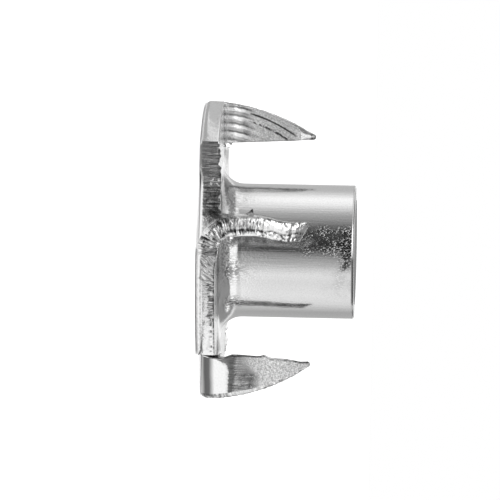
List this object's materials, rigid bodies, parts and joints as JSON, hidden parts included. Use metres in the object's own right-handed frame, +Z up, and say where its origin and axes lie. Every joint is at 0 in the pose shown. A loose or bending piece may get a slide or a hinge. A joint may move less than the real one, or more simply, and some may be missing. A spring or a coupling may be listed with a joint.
{
  "type": "tee nut",
  "caption": "Zinc-plated steel tee nut: a round flange with folded drive-in prongs and a threaded barrel.",
  "frame": {"origin": "centre of the bore on the outer face of the flange, which the nut stands on", "axes": "+Z up the barrel to its mouth; +X along the fold of one prong; the prongs stand clockwise of their folds seen from +Z"},
  "size_m": [0.0222, 0.0222, 0.0113],
  "materials": {
    "zinc_plated_steel": "bright zinc plate on drawn and sheared sheet steel, with die marks and fine striations"
  },
  "bodies": {
    "root": {"tee_nut": "zinc_plated_steel"}
  },
  "joints": []
}
